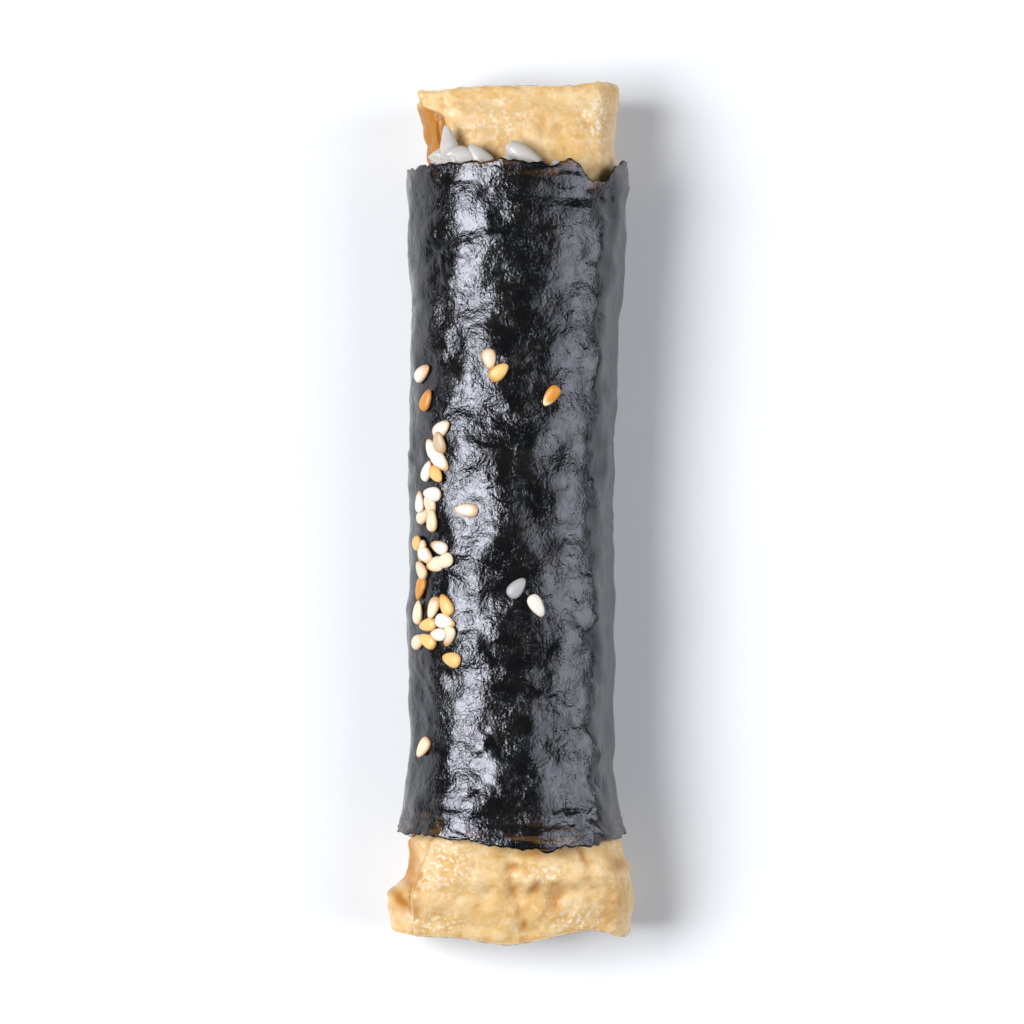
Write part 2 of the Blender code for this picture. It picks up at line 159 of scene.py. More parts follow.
class Finish:
    # a material being made: node() adds any shader node
    def __init__(self, name, **fixed):
        self.material = bpy.data.materials.new(name)
        self.material.use_nodes = True
        self.tree = self.material.node_tree
        self.shader = self.tree.nodes["Principled BSDF"]
        for socket, value in fixed.items():
            self.shader.inputs[socket.replace("_", " ")].default_value = value

    def plug(self, socket, value):
        if isinstance(value, Value):
            self.tree.links.new(value.socket, socket)
        else:
            socket.default_value = value

    def node(self, kind, settings=None, sockets=None, out=0):
        made = self.tree.nodes.new("ShaderNode" + kind)
        for key, value in (settings or {}).items():
            setattr(made, key, value)
        for key, value in (sockets or {}).items():
            self.plug(made.inputs[key], value)
        return Value(self, made.outputs[out])

    def spots(self, size, detail=2.0, stretch=(1, 1, 1), rough=0.5, swirl=0.0):
        # noise from 0 to 1 with features of a size in mm
        place = self.node("TexCoord", out="Object")
        placed = self.node("Mapping", None, {"Vector": place, "Scale": stretch})
        sockets = {"Vector": placed, "Scale": 1 / (size * mm), "Detail": detail, "Roughness": rough,
                   "Distortion": swirl}
        return self.node("TexNoise", None, sockets)

    def creases(self, size, sway):
        # flat facets of a size in mm, 0 at the creases between them, that sway by a share of their size
        place = self.node("TexCoord", out="Object")
        noisy = {"Vector": place, "Scale": 0.7 / (size * mm), "Detail": 2.0}
        swirl = self.node("TexNoise", None, noisy, out=1)
        bent = {0: swirl, 1: (sway * size * mm,) * 3, 2: place}
        moved = self.node("VectorMath", {"operation": "MULTIPLY_ADD"}, bent)
        facet = {"Vector": moved, "Scale": 1 / (size * mm)}
        return self.node("TexVoronoi", {"feature": "DISTANCE_TO_EDGE"}, facet)

    def tone(self, name, out="Fac"):
        return self.node("Attribute", {"attribute_name": name}, out=out)

    def mix(self, share, first, second):
        first, second = [(*c, 1) if isinstance(c, tuple) else c for c in (first, second)]
        settings = {"data_type": "RGBA", "blend_type": "MIX"}
        return self.node("Mix", settings, {"Factor": share, 6: first, 7: second}, out=2)

    def bump(self, height, depth, normal=None):
        # depth in mm for heights from 0 to 1
        sockets = {"Height": height, "Distance": depth * mm, "Strength": 1.0}
        if normal is not None:
            sockets["Normal"] = normal
        return self.node("Bump", None, sockets)

    def feed(self, **sockets):
        for key, value in sockets.items():
            self.plug(self.shader.inputs[key.replace("_", " ")], value)
        return self.material


# the seaweed wrap

seaweed = {
    "top": wrapHigh.y - 1.1, "bottom": -44.8, "length": 92,  # nominal, before peaks and notches
    "halfWidth": 14.45, "height": 23.0, "flatDepth": 0.8, "squareness": 2.2,
    "widening": 0.9, "lip": 1.6,  # towards the top end, and at the bottom end
    "notch": (49, 11.5, 2.7), "peak": (20, 7, 1.1),  # in the top end: angle and reach in degrees, then size
    "bow": (75, 50, 2.4),  # of the bottom end, in the same way
    "topCrease": (43.4, 1.5, 0.3), "bottomCrease": (-43.0, 1.4, 0.35),  # place along, half width, depth
    "fineSection": (13, 12),  # half width and half height of the oval that fine relief is laid out on
    "thickness": 0.28, "innerThickness": 0.5,
    "lapEdge": math.radians(207), "lapStep": 0.35, "lapReach": math.radians(55),
    "lumps": 0.35, "lumpSize": 5.5,
    "dents": 0.24, "dentSize": 3.0,
    "wrinkles": 0.08, "wrinkleSize": (3.2, 1.7),  # round the roll, along it
    "crumple": 0.15, "crumpleSize": 3.0,
    "sideFlat": 0.5,  # how far the side towards +x is pressed flat
    "crinkles": 0.07, "crinkleSize": 1.2,
    "gathers": 0.5, "gatherSize": (7.0, 1.3),
    "folds": 12, "foldHeight": 0.1, "foldRadius": 12.5,
    "tears": 0.4, "tearSize": 1.9, "frays": 0.35,
    "rows": 280, "columns": 280, "rimRows": 14, "innerRows": 10,
    "black": (0.003, 0.003, 0.0034), "worn": (0.0065, 0.0052, 0.004), "toasted": (0.11, 0.05, 0.012),
}


def wrapHalfWidth(y):
    wider = seaweed["widening"] * blend(20, 44, y)
    lip = seaweed["lip"] * blend(-36, -46, y)
    waist = 0.3 * hill(y, -1, 9) + 0.3 * hill(y, -29, 8)
    return seaweed["halfWidth"] + wider + lip - waist


def wrapShift(y):
    return 0.9 * blend(0, 44, y)


def wrapSwell(y):
    # how much higher the upper side is near the ends
    return 0.6 * blend(30, 47, y) + 0.5 * blend(-32, -45, y)


def wrapRelief(angle, y, behindLap=None):
    # rice pressing through, a crease round each end and the overlap
    across, up = np.cos(angle), np.sin(angle)
    lumps = seaweed["lumps"] * cloud(across * 2.4, y / seaweed["lumpSize"], up * 2.0)
    place, width, depth = seaweed["topCrease"]
    topCrease = depth * hill(y, place, width) * blend(-0.2, 0.6, across)
    place, width, depth = seaweed["bottomCrease"]
    bottomCrease = depth * hill(y, place, width) * blend(-0.3, 0.3, up)
    if behindLap is None:
        behindLap = (seaweed["lapEdge"] - angle) % math.tau
    reach = seaweed["lapReach"]
    lap = seaweed["lapStep"] * (1 - blend(0.5 * reach, reach, behindLap))
    return lumps - topCrease - bottomCrease + lap


def facets(x, y, z):
    # flat facets with crisp creases between them, 0 at the creases
    spots = np.stack(np.broadcast_arrays(x, y, z), -1)
    nearest = [noise.voronoi(spot)[0] for spot in spots.reshape(-1, 3).tolist()]
    return np.array([second - first for first, second, *_ in nearest]).reshape(spots.shape[:-1])


def foldLines(angle, y):
    # soft folds in the sheet, each a low ridge with a groove along one side
    draw = random.Random(4)
    radius = seaweed["foldRadius"]
    arc = angle * radius
    total = np.zeros(np.broadcast(angle, y).shape)
    for _ in range(seaweed["folds"]):
        arcHere, yHere = draw.uniform(-0.3, 3.4) * radius, draw.uniform(-40, 43)
        turn = draw.gauss(0.0, 0.35)
        reach = draw.uniform(2.5, 7.0)
        height = seaweed["foldHeight"] * draw.uniform(0.5, 1.2) * draw.choice((-1, 1))
        away = (arc - arcHere + math.pi * radius) % (math.tau * radius) - math.pi * radius
        along = away * math.cos(turn) + (y - yHere) * math.sin(turn)
        side = -away * math.sin(turn) + (y - yHere) * math.cos(turn) + 0.08 * along * along / reach
        total += height * hill(along, 0, reach) * (hill(side, 0, 0.5) - 0.7 * hill(side, 0.9, 0.6))
    return total


def wrapCrinkle(angle, y):
    # what is too fine for the solid: dents, wrinkles, crinkles, folds and the gathered ends
    across, up = np.cos(angle), np.sin(angle)
    wide, tall = seaweed["fineSection"]
    x, z = wide * across, tall * up
    size = seaweed["dentSize"]
    dents = cloud(x / size + 5, y / size, z / size)
    sway = cloud(x / 5 + 8, y / 5, z / 5)
    wide, tall = seaweed["wrinkleSize"]
    wrinkles = 0.6 * np.abs(cloud(x / wide + 1.5 * sway, y / tall - 3 * sway, z / wide + 11))
    wrinkles += 0.9 * cloud(x / wide + 3, y / tall + 2 * sway, z / wide + 21)
    size = seaweed["crumpleSize"]
    ripple = cloud(x / 1.6 + 31, y / 1.6, z / 1.6)
    crumple = facets(x / size + 0.5 * ripple, y / size - 0.5 * ripple, z / size + 0.3 * sway)
    crumpled = 0.35 + 0.65 * blend(-0.15, 0.15, cloud(x / 6, y / 7 + 9, z / 6))
    size = seaweed["crinkleSize"]
    crinkles = np.abs(cloud(x / size + 2 * sway, y / size - 3 * sway, z / size + 4))
    crinkled = blend(-0.2, 0.2, cloud(x / 4 + 17, y / 6, z / 4))
    fromTop = wrapEnd(angle, True) - y
    fromBottom = y - wrapEnd(angle, False)
    wide, tall = seaweed["gatherSize"]
    gathers = blend(6.5, 1.5, fromTop) * blend(-0.35, 0.45, across) * blend(-0.2, 0.3, up)
    gathers = gathers + blend(6.0, 1.0, fromBottom) * blend(-0.4, 0.2, up)
    gathers = gathers * (0.22 - np.abs(cloud(x / wide + 20, y / tall + 1.5 * sway, z / wide)))
    rough = (seaweed["crumple"] * (crumple - 0.3) * crumpled - seaweed["wrinkles"] * wrinkles
             - seaweed["crinkles"] * crinkles * (0.35 + 0.65 * crinkled))
    rough = rough * (1 - 0.85 * smoothStrip(angle, y)) - sideFlat(angle, y)
    return seaweed["dents"] * dents + rough + seaweed["gathers"] * gathers + foldLines(angle, y)


def stripEdge(y):
    # the angle at which the smooth strip on the side towards +x begins
    return math.radians(44) + 0.22 * cloud(y / 4.0, 2.0, 8.0) + 0.12 * cloud(y / 1.2, 5.0, 8.0)


def smoothStrip(angle, y):
    # 1 on the smooth strip
    return blend(stripEdge(y), stripEdge(y) - 0.08, np.abs(turned(angle)))


def sideFlat(angle, y):
    # presses the smooth strip flat, with a soft corner along its upper edge
    share = np.clip((turned(angle) - math.radians(3)) / (stripEdge(y) - math.radians(3)), 0, 1)
    return seaweed["sideFlat"] * 4 * share * (1 - share) * blend(-48, -38, y) * blend(47, 40, y)


def wrapPoint(angle, y, raised=0.0):
    # a point of the plain section at an angle from +x towards +z, raised off it
    angle, y = np.broadcast_arrays(np.asarray(angle, float), np.asarray(y, float))
    halfHeight = (seaweed["height"] + seaweed["flatDepth"]) / 2
    power = 2 / seaweed["squareness"]
    across, up = np.cos(angle), np.sin(angle)
    high = halfHeight + raised + wrapSwell(y) * np.maximum(0, up)
    x = wrapShift(y) + (wrapHalfWidth(y) + raised) * np.sign(across) * np.abs(across) ** power
    z = seaweed["height"] - halfHeight + high * np.sign(up) * np.abs(up) ** power
    return np.stack((x, y, z), -1)


def wrapEnd(angle, top):
    # where the sheet ends: a notch and a peak at the top, a bow at the bottom
    across, up = np.cos(angle), np.sin(angle)
    ragged = 0.5 * cloud(across * 3, up * 3, 7.0 if top else 3.0)
    if top:
        degrees, reach, depth = seaweed["notch"]
        notch = depth * np.exp(-((turned(angle - math.radians(degrees)) / math.radians(reach)) ** 4))
        degrees, reach, height = seaweed["peak"]
        peak = height * hill(turned(angle - math.radians(degrees)), 0, math.radians(reach))
        return seaweed["top"] - notch + peak + ragged
    degrees, reach, depth = seaweed["bow"]
    bow = depth * hill(turned(angle - math.radians(degrees)), 0, math.radians(reach))
    return seaweed["bottom"] - bow + ragged


def turned(angle):
    # the same angle between half a turn back and half a turn on
    return (angle + math.pi) % math.tau - math.pi


def tornEdge(angle, top):
    # small tears along the ends of the sheet
    wide, tall = seaweed["fineSection"]
    x, z = np.cos(angle) * wide, np.sin(angle) * tall
    size = seaweed["tearSize"]
    tears = cloud(x / size, z / size, 2.0 if top else 5.0)
    return seaweed["tears"] * tears + seaweed["frays"] * cloud(x * 1.5, z * 1.5, 9.0)


def makeSeaweed(material):
    columns, rows = int(seaweed["columns"] * fine), int(seaweed["rows"] * fine)
    gap = math.radians(0.35)  # a close pair of columns makes the overlap's step crisp
    behind = math.tau - gap - (math.tau - gap) * np.arange(columns) / (columns - 1)
    behind[0] = math.tau - 1e-4
    length = seaweed["length"]

    def surface(shares, inset, inner=False):
        share = np.asarray(shares)[:, None]
        roughY = seaweed["bottom"] + (seaweed["top"] - seaweed["bottom"]) * share
        edgeSway = 0.035 * cloud(roughY / 11, 4.0, 1.0) + 0.012 * cloud(roughY / 2.5, 2.0, 6.0)
        angle = seaweed["lapEdge"] + edgeSway - behind[None, :]
        bottom = wrapEnd(angle, False) + tornEdge(angle, False)
        top = wrapEnd(angle, True) + tornEdge(angle, True)
        y = bottom + (top - bottom) * share
        raised = wrapRelief(angle, y, np.broadcast_to(behind[None, :], y.shape))
        raised = raised - np.asarray(inset)[:, None] + wrapCrinkle(angle, y)
        points = wrapPoint(angle, y, raised)
        points[..., 2] = np.maximum(points[..., 2], 0.25 if inner else 0.0)
        bottomRim = hill(share * length, 0, 1.2 + 1.2 * blend(-0.5, 0.5, np.sin(angle)))
        rim = np.maximum(bottomRim, hill((1 - share) * length, 0, 1.2))
        return points.reshape(-1, 3), rim.ravel(), smoothStrip(angle, y).ravel()

    outerShares = np.linspace(0, 1, rows)
    near = outerShares[:seaweed["rimRows"]]
    between = np.linspace(near[-1], 1 - near[-1], seaweed["innerRows"] + 2)[1:-1]
    innerShares = np.r_[near, between, 1 - near[::-1]]
    fromEnd = np.minimum(innerShares, 1 - innerShares) * length
    thin = seaweed["thickness"]
    inset = thin + (seaweed["innerThickness"] - thin) * blend(2, 5, fromEnd)
    outer, outerRim, outerCalm = surface(outerShares, np.zeros(rows))
    inner, innerRim, innerCalm = surface(innerShares, inset, inner=True)
    start = len(outer)
    faces = gridFaces(rows, columns, True)
    faces += [quad[::-1] for quad in gridFaces(len(innerShares), columns, True, start)]
    last, innerLast = (rows - 1) * columns, start + (len(innerShares) - 1) * columns
    for i in range(columns):
        j = (i + 1) % columns
        faces.append([j, i, start + i, start + j])
        faces.append([last + i, last + j, innerLast + j, innerLast + i])
    wrap = newPiece("seaweedWrap", np.r_[outer, inner], faces, material,
                    {"rim": np.r_[outerRim, innerRim], "calm": np.r_[outerCalm, innerCalm]})
    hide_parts("seaweed")


def seaweedFinish():
    f = Finish("oiledSeaweed", IOR=1.5, Specular_IOR_Level=0.6, Specular_Tint=(0.88, 0.9, 1.0, 1.0))
    patches = f.spots(4.5, detail=3)
    smooth = f.spots(2.6, detail=3).between(0.4, 0.62)  # where the sheet lies smooth
    threads = f.spots(1.1, detail=4, rough=0.6, swirl=0.8)
    veins = abs(threads - 0.5).between(0.0, 0.2)
    grain = f.spots(0.34, detail=3, rough=0.65)
    dry = f.spots(0.6, detail=5, rough=0.75).between(0.36, 0.64)
    rim = f.tone("rim")
    dark = f.mix(patches.between(0.4, 0.7), seaweed["black"], seaweed["worn"])
    streaks = f.spots(1.8, detail=4, stretch=(0.28, 1.8, 1)).between(0.49, 0.62)
    colour = f.mix(rim * streaks * 0.75, dark, seaweed["toasted"])
    creased = f.creases(1.5, 0.5)
    puckered = f.creases(0.55, 0.35)
    worn = f.spots(2.4, detail=3).between(0.42, 0.62)
    rough = (1 - 0.6 * smooth) * (1 - 0.75 * f.tone("calm"))
    normal = f.bump(creased * rough, 0.115)
    normal = f.bump(puckered * rough, 0.065, normal=normal)
    normal = f.bump(veins * rough, 0.02, normal=normal)
    normal = f.bump(grain * rough, 0.035, normal=normal)
    return f.feed(Base_Color=colour, Roughness=0.08 + 0.1 * dry + 0.07 * worn, Normal=normal)


# sesame seeds

sesame = {
    "size": (3.4, 2.0, 1.0), "sunk": 0.22, "taper": 0.3, "sides": 20, "rings": 12,
    # seeds that lie alone: place across and along, direction in degrees from +y towards -x, and kind
    "alone": (
        (-12.9, 19.2, 300, "pale"), (-12.3, 15.3, 330, "toasted"), (-4.0, 20.7, 190, "cream"),
        (-2.7, 18.9, 310, "golden"), (4.5, 15.6, 145, "husked"), (-7.1, -0.2, 85, "pale"),
        (-0.2, -11.0, 320, "grey"), (2.5, -13.5, 210, "pale"), (-12.7, -33.1, 140, "cream"),
        (-9.4, -17.7, 155, "cream"), (-9.0, -20.9, 75, "golden"),
    ),
    # crowds: centre across and along, reach across and along, and how many
    "crowds": ((-12.0, 4.6, 1.6, 6.6, 11), (-11.7, -11.8, 2.0, 7.4, 16)),
    "spacing": 1.6, "tries": 40,
    "touch": 2.0, "lift": 0.25,  # a seed closer than this to another lies on top of it
    # colour of the middle, colour of the rim and tip, and how common each kind is in a crowd
    "toasted": (0.62, 0.36, 0.12),  # the colour of small specks
    "kinds": {
        "pale": ((0.70, 0.67, 0.61), (0.52, 0.28, 0.08), 10),
        "cream": ((0.70, 0.60, 0.44), (0.52, 0.25, 0.06), 6),
        "golden": ((0.70, 0.45, 0.16), (0.48, 0.18, 0.03), 3.5),
        "toasted": ((0.54, 0.23, 0.04), (0.34, 0.11, 0.018), 1.5),
        "tan": ((0.48, 0.37, 0.25), (0.42, 0.20, 0.06), 1.5),
        "husked": ((0.56, 0.22, 0.025), (0.84, 0.64, 0.36), 0),
        "grey": ((0.34, 0.33, 0.34), (0.26, 0.25, 0.26), 0),
    },
}


def wrapSurface(angle, y):
    return wrapPoint(angle, y, wrapRelief(np.asarray(angle), np.asarray(y)))


def wrapSpot(x, y):
    # the wrap's upper surface above x and y, with its outward normal
    low, high = 0.0, math.pi
    for _ in range(30):
        middle = (low + high) / 2
        low, high = (middle, high) if wrapSurface(middle, y)[0] > x else (low, middle)
    roundRoll = wrapSurface(low + 0.03, y) - wrapSurface(low - 0.03, y)
    along = wrapSurface(low, y + 0.3) - wrapSurface(low, y - 0.3)
    return wrapSurface(low, y), unit(np.cross(along, roundRoll)), low


def kernel(origin, along, normal, size, sides, rings, taper=0.0, bend=0.0):
    # a grain or seed: points, faces and how far along each point is; bend curves it towards its normal
    along = unit(along)
    across = unit(np.cross(normal, along))
    depth = np.cross(along, across)
    at = np.linspace(0, math.pi, rings + 2)[1:-1, None]
    side = np.linspace(0, math.tau, sides, endpoint=False)[None, :]
    end = -np.cos(at)
    thick = np.sin(at) ** 0.85 * (1 - taper * end) / 2
    sag = bend * (end ** 2 - 0.35) * size[0]
    long, wide, tall = size
    local = (end * long / 2 + 0 * side, thick * wide * np.cos(side), thick * tall * np.sin(side) - sag)
    ring = origin + sum(part[..., None] * axis for part, axis in zip(local, (along, across, depth)))
    tips = [origin + along * (s * size[0] / 2) - depth * bend * 0.65 * size[0] for s in (-1, 1)]
    points = np.r_[ring.reshape(-1, 3), np.array(tips)]
    count = rings * sides
    faces = [quad[::-1] for quad in gridFaces(rings, sides, True)]
    for i in range(sides):
        j = (i + 1) % sides
        faces.append([count, j, i][::-1])
        faces.append([count + 1, count - sides + i, count - sides + j][::-1])
    return points, faces, np.r_[np.repeat(end[:, 0], sides), -1, 1]


def joined(parts):
    # many point and face lists as one
    points, faces, start = [], [], 0
    for somePoints, someFaces in parts:
        points.append(somePoints)
        faces += [[corner + start for corner in face] for face in someFaces]
        start += len(somePoints)
    return np.concatenate(points), faces


def seedSpots():
    # the lone seeds, then the crowds, in which a seed that comes close to another lies on top of it
    draw, look = random.Random(11), random.Random(3)
    kinds = sesame["kinds"]
    spots = []
    for x, y, degrees, kind in sesame["alone"]:
        spots.append((*wrapSpot(x, y), y, math.radians(degrees), 0.0, kind))
    for xMid, yMid, xReach, yReach, count in sesame["crowds"]:
        for _ in range(count):
            for _ in range(sesame["tries"]):
                x = xMid + xReach * draw.uniform(-1, 1)
                y = yMid + yReach * draw.uniform(-1, 1)
                here, normal, angle = wrapSpot(x, y)
                nearest = min(np.linalg.norm(here - other[0]) for other in spots)
                if nearest > sesame["spacing"]:
                    lift = sesame["lift"] if nearest < sesame["touch"] else 0.0
                    kind = look.choices(list(kinds), [values[2] for values in kinds.values()])[0]
                    spots.append((here, normal, angle, y, draw.uniform(0, math.tau), lift, kind))
                    break
    return spots


def makeSesame(material):
    look = random.Random(6)
    parts, shades = [], []
    for here, normal, angle, y, yaw, lift, kind in seedSpots():
        side = unit(np.cross(normal, (0, 1, 0)))
        along = np.array((0, 1, 0)) * math.cos(yaw) + side * math.sin(yaw)
        along = along - normal * along.dot(normal)
        size = np.array(sesame["size"]) * (look.uniform(0.88, 1.02), look.uniform(0.88, 1.06), 1.0)
        rise = size[2] / 2 - sesame["sunk"] + lift + float(wrapCrinkle(np.array(angle), np.array(y)))
        tilt = look.gauss(0, 0.1) + 0.5 * lift * look.choice((-1, 1))
        points, faces, end = kernel(here + normal * rise, along + normal * tilt, normal, size,
                                    sesame["sides"], sesame["rings"], sesame["taper"])
        parts.append((points, faces))
        shades.append(seedShade(points - here, normal, end, lift, sesame["kinds"][kind], look))
    points, faces = joined(parts)
    seeds = newPiece("sesameSeeds", points, faces, material, {"shade": np.concatenate(shades)})
    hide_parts("seaweed")


def seedShade(offsets, normal, end, lift, kind, look):
    # the middle is paler than the rim and the pointed tip, or the other way round for a husked seed
    middle, rim, _ = kind
    base, darker = np.array(middle) * look.uniform(0.9, 1.04), np.array(rim)
    height = offsets @ np.asarray(normal) - lift
    low = blend(0.66, 0.25, height)[:, None]
    tip = blend(0.5, 1.0, end)[:, None]
    return base + (darker - base) * np.clip(0.75 * low + 0.45 * tip, 0, 0.95)


def sesameFinish():
    f = Finish("toastedSesame", IOR=1.45)
    speckle = f.spots(0.45, detail=2)
    colour = f.mix(speckle.between(0.45, 0.75) * 0.18, f.tone("shade", "Color"), sesame["toasted"])
    skin = f.bump(f.spots(0.25, detail=2), 0.05)
    return f.feed(Base_Color=colour, Roughness=0.28 + 0.2 * speckle, Normal=skin)


# the rolled fish-cake sheet

fishCake = {
    "thickness": 2.8, "halfLength": 59.5,
    "tail": math.radians(260), "foldRadius": 1.6, "sidePitch": 3.5,
    "puff": 0.22, "puffSize": 7.0,
    # place along y, half width, half height, shift, axis height, tilt in degrees, then the free edge's lift
    # and its angle round the roll
    "stations": (
        (-60.0, 16.8, 7.2, 0.2, 9.4, -2.0, 0.6, 124), (-53.8, 17.1, 8.0, 0.0, 10.7, -1.0, 0.9, 125),
        (-51.2, 15.7, 8.7, 1.0, 11.1, 0.0, 0.8, 131), (-46.5, 14.8, 8.8, 0.5, 11.5, 0.0, 0.0, 126),
        (-44.0, 12.9, 8.3, 0.1, 11.5, 0.0, 0.0, 119), (-40.0, 12.0, 7.8, 0.3, 11.5, 0.0, 0.0, 113),
        (-34.0, 11.4, 7.0, 0.7, 11.4, 0.0, 0.0, 111), (36.0, 11.4, 7.0, 0.9, 11.3, 0.0, 0.0, 115),
        (43.0, 12.6, 7.7, 1.2, 11.2, 5.0, 0.0, 121), (48.0, 13.0, 7.8, 1.3, 11.2, 6.0, 0.2, 120),
        (51.5, 13.3, 7.7, 1.2, 11.0, 6.0, 0.4, 118), (55.5, 13.7, 7.5, 1.1, 10.7, 5.5, 0.8, 120),
        (57.8, 13.9, 7.3, 1.0, 10.5, 5.0, 1.2, 131), (60.0, 14.1, 7.2, 0.9, 10.3, 5.0, 1.6, 132),
    ),
    "turnColumns": 250, "tailColumns": 56, "endRows": 42, "endReach": 17.0, "middleRows": 8, "cutRows": 5,
    "rounding": 0.22, "edgeBulge": 0.35,  # of the cut corners and of the sheet's edges
    "golden": (0.691, 0.504, 0.264), "deepGolden": (0.62, 0.393, 0.149), "tanned": (0.567, 0.299, 0.07),
    # the brown colour serves browned marks and painted shade alike
    "brownAndShade": (0.36, 0.135, 0.006), "blister": (0.709, 0.572, 0.355), "paleFleckAndHighlight": (0.797, 0.726, 0.595),
    # the pale fleck colour above is partly pale blisters, partly painted highlight
    "crumb": (0.673, 0.547, 0.347), "deepCrumb": (0.62, 0.453, 0.24),
    # patches of glossy pale blisters, whose pale flecks are partly painted highlight: place across and
    # along, half width and half length
    "glossAndPaintedHighlight": (
        (-2.5, 54.5, 5.0, 3.6), (-9.5, -49.5, 4.2, 4.2), (9.0, -57.0, 5.0, 2.2), (11.5, 55.0, 3.0, 3.5),
        (3.8, -50.8, 3.0, 1.5), (-11.0, -57.5, 4.0, 1.5),
    ),
    # marks on the upper skin: place across and along, half length and half width, direction in degrees from
    # +x, depth, and how brown, which for some marks is painted shade
    # the two long flat marks along the wrap's edge, the groove down the lower left and the two wide flat
    # ones are painted shade
    "marks": (
        (-14.7, -48.5, 4.2, 1.3, 100, 0.3, 1.0), (-15.5, -54.6, 2.6, 0.8, -49, 0.35, 1.0),
        (-0.5, -49.7, 0.8, 0.6, 0, 0.4, 0.8), (2.5, -52.6, 1.4, 0.65, 50, 0.45, 0.8),
        (5.8, -54.4, 1.7, 1.05, 70, 0.5, 0.8), (5.4, -52.2, 0.7, 0.45, 20, 0.25, 0.55),
        (0.1, -54.4, 3.4, 0.5, 108, 0.35, 0.6), (1.1, -57.6, 0.7, 0.5, 80, 0.2, 1.0),
        (-9.0, -51.0, 6.0, 5.0, 0, 0.0, 0.17), (-3.0, 53.5, 6.5, 4.5, 0, 0.0, 0.3),
        (9.2, -48.2, 1.8, 0.4, 120, 0.35, 0.95), (-0.2, -52.6, 0.7, 0.5, 100, 0.1, 0.7),
        (4.0, -47.7, 4.5, 0.6, 0, 0.05, 0.55), (13.5, -55.5, 2.6, 1.6, 60, 0.1, 0.4),
        (14.6, -49.4, 1.0, 0.7, 0, 0.12, 0.75), (-10.2, -55.6, 2.6, 0.45, 35, 0.2, 0.3),
        (-6.0, -50.0, 1.5, 0.5, 100, 0.15, 0.15), (11.2, -52.5, 1.6, 0.6, 120, 0.2, 0.25),
        (3.7, 54.0, 3.6, 0.6, 88, 0.25, 0.2), (6.0, 48.0, 3.4, 0.7, 0, 0.05, 0.65),
        (-3.0, 56.4, 1.2, 0.6, 20, 0.2, 0.2), (9.5, 53.2, 1.5, 0.6, 70, 0.15, 0.15),
        (13.6, 55.0, 3.0, 0.8, 85, 0.1, 0.3), (0.2, 53.0, 1.0, 0.5, 140, 0.15, 0.2),
    ),
}


def sheetFrame(y):
    # the stations' values at a place along the roll
    stations = fishCake["stations"]
    y = min(max(y, stations[0][0]), stations[-1][0])
    for low, high in zip(stations, stations[1:]):
        if y <= high[0]:
            break
    share = float(blend(low[0], high[0], y))
    wide, tall, shift, axis, tilt, lift, edge = (a + (b - a) * share for a, b in zip(low[1:], high[1:]))
    return wide, tall, shift, axis, math.radians(tilt), lift, math.radians(edge)


def freeEdge(y):
    return sheetFrame(y)[-1]


def sheetLine(angle, y):
    # the sheet at mid thickness: flattened rings that step inwards
    wide, tall, shift, axis, tilt, lift, edge = sheetFrame(y)
    halfThick = fishCake["thickness"] / 2
    stepIn = tall - halfThick - fishCake["foldRadius"]
    turns = angle / math.tau
    halfWide = wide - halfThick + fishCake["sidePitch"] * (0.25 + turns)
    radius = np.maximum(tall - halfThick + stepIn * turns, 0.05)
    bend = np.maximum(radius, fishCake["foldRadius"])
    flatShare = np.clip(1.6 * np.cos(angle), -1, 1)
    x = (halfWide - bend) * flatShare + bend * np.cos(angle) - fishCake["sidePitch"] / 4
    z = radius * np.sin(angle) - stepIn / 4 + lift * blend(math.radians(98), edge, angle)
    c, s = math.cos(tilt), math.sin(tilt)
    return np.stack((shift + x * c - z * s, y + 0 * x, axis + x * s + z * c), -1)


def sheetNormal(angle, y):
    along = sheetLine(angle + 0.02, y) - sheetLine(angle - 0.02, y)
    return unit(np.stack((along[..., 2], 0 * along[..., 0], -along[..., 0]), -1))


def sheetRelief(points):
    # broad swellings, and at the ends the valleys that show on the upper side
    x, y, z = points.T
    relief = fishCake["puff"] * cloud(*(points / fishCake["puffSize"]).T)
    upper = z > 12
    relief -= 0.7 * hill(x, 0.2 - 0.3 * (y + 54), 1.3) * upper * (y < 0)
    relief -= 0.7 * hill(x, 5.2, 2.0) * hill(y, -54, 2) * upper * (y < 0)
    relief -= 0.8 * hill(x, -9.4, 2.2) * hill(y, 53.5, 3.0) * upper * (y > 0)
    return relief * blend(46.5, 49.5, np.abs(y))


def sheetMarks(points):
    # how deep and how brown the marks make each point; the brown of some marks is painted shade
    x, y, z = points.T
    deep, brownAndShade = np.zeros(len(x)), np.zeros(len(x))
    for xHere, yHere, halfLong, halfWide, degrees, depth, tone in fishCake["marks"]:
        c, s = math.cos(math.radians(degrees)), math.sin(math.radians(degrees))
        along = ((x - xHere) * c + (y - yHere) * s) / halfLong
        aside = ((y - yHere) * c - (x - xHere) * s) / halfWide
        away = (along ** 2 + aside ** 2) * (1 + 0.8 * cloud(x / 1.1, y / 1.1, 3.0))
        lip = 0.35 * np.exp(-((np.sqrt(np.abs(away)) - 1.7) / 0.5) ** 2)
        deep += depth * (np.exp(-away) - lip) * (z > 9)
        brownAndShade = np.maximum(brownAndShade, tone * np.exp(-0.7 * away) * (z > 9))
    return deep, brownAndShade


def sheetGloss(points):
    # how glossy the patches of blisters make each point, and where pale flecks with painted highlight go
    x, y, z = points.T
    total = np.zeros(len(x))
    for xHere, yHere, halfWide, halfLong in fishCake["glossAndPaintedHighlight"]:
        total = np.maximum(total, hill(x, xHere, halfWide) * hill(y, yHere, halfLong) * (z > 12))
    return total


